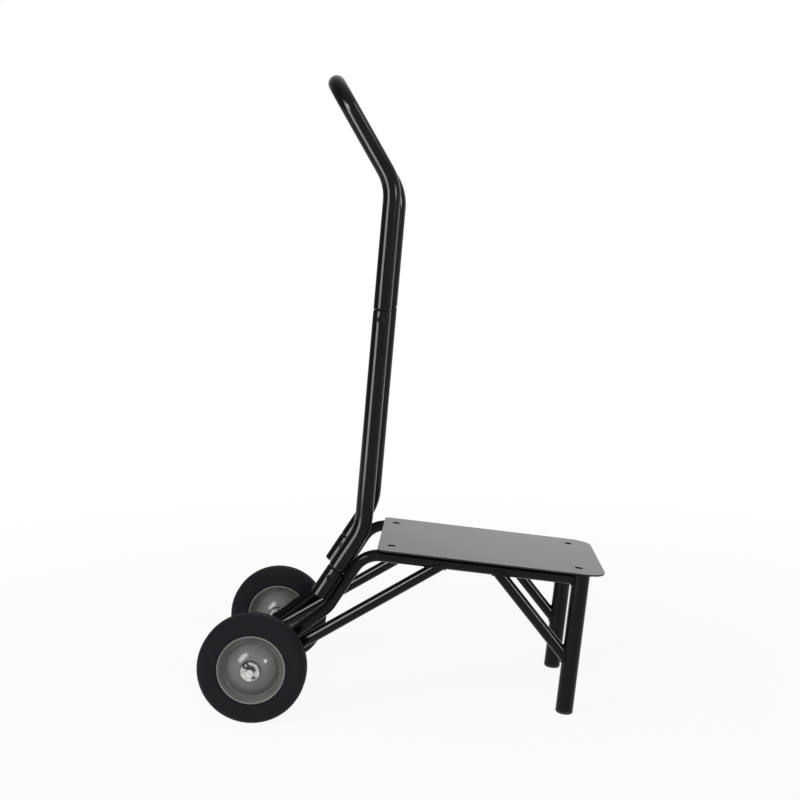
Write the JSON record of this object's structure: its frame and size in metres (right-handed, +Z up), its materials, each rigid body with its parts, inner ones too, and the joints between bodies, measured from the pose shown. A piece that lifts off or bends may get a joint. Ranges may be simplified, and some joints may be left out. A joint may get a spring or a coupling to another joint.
{
  "type": "stacking chair trolley",
  "caption": "Tubular steel hand trolley with a flat platform on short front legs, a tall bolted U handle and a wheel axle behind, for tipping and rolling stacked chairs.",
  "frame": {"origin": "on the floor under the middle of the trolley's box, standing on wheels and feet", "axes": "+Z up, +X towards the front edge of the platform, +Y to the left of someone behind the handle"},
  "size_m": [0.7642, 0.438, 1.2112],
  "materials": {
    "black_paint": "gloss powder coat",
    "plug_plastic": "moulded satin",
    "tyre_rubber": "matte",
    "rim_paint": "grey gloss paint",
    "zinc_steel": "bright zinc plate",
    "bushing_bronze": "oiled"
  },
  "bodies": {
    "frame": {"platform_plate": "black_paint", "side_rail_left": "black_paint", "side_rail_right": "black_paint", "rear_brace_left": "black_paint", "rear_brace_right": "black_paint", "front_leg_left": "black_paint", "front_leg_right": "black_paint", "front_brace_left": "black_paint", "front_brace_right": "black_paint", "foot_plug_left": "plug_plastic", "foot_plug_right": "plug_plastic", "handle_socket_left": "black_paint", "handle_socket_right": "black_paint", "handle_upright_left": "black_paint", "handle_upright_right": "black_paint", "handle_upper": "black_paint", "splice_bolt_left": "black_paint", "splice_bolt_right": "black_paint", "splice_nut_left": "black_paint", "splice_nut_right": "black_paint", "socket_bolt_left": "black_paint", "socket_bolt_right": "black_paint", "socket_nut_left": "black_paint", "socket_nut_right": "black_paint", "axle_tube": "black_paint", "axle_rod": "zinc_steel", "inner_washer_left": "zinc_steel", "inner_washer_right": "zinc_steel", "outer_washer_left": "zinc_steel", "outer_washer_right": "zinc_steel", "split_pin_left": "zinc_steel", "split_pin_right": "zinc_steel"},
    "wheel_left": {"tyre_left": "tyre_rubber", "rim_outer_left": "rim_paint", "rim_inner_left": "rim_paint", "hub_tube_left": "rim_paint", "bushing_outer_left": "bushing_bronze", "bushing_inner_left": "bushing_bronze"},
    "wheel_right": {"tyre_right": "tyre_rubber", "rim_outer_right": "rim_paint", "rim_inner_right": "rim_paint", "hub_tube_right": "rim_paint", "bushing_outer_right": "bushing_bronze", "bushing_inner_right": "bushing_bronze"}
  },
  "joints": [
    {"name": "wheel_left_spin", "type": "hinge", "parent": "frame", "child": "wheel_left", "pos_m": [-0.28049, 0.1795, 0.1016], "axis": [0, 1, 0], "continuous": true},
    {"name": "wheel_right_spin", "type": "hinge", "parent": "frame", "child": "wheel_right", "pos_m": [-0.28049, -0.1795, 0.1016], "axis": [0, 1, 0], "continuous": true}
  ]
}
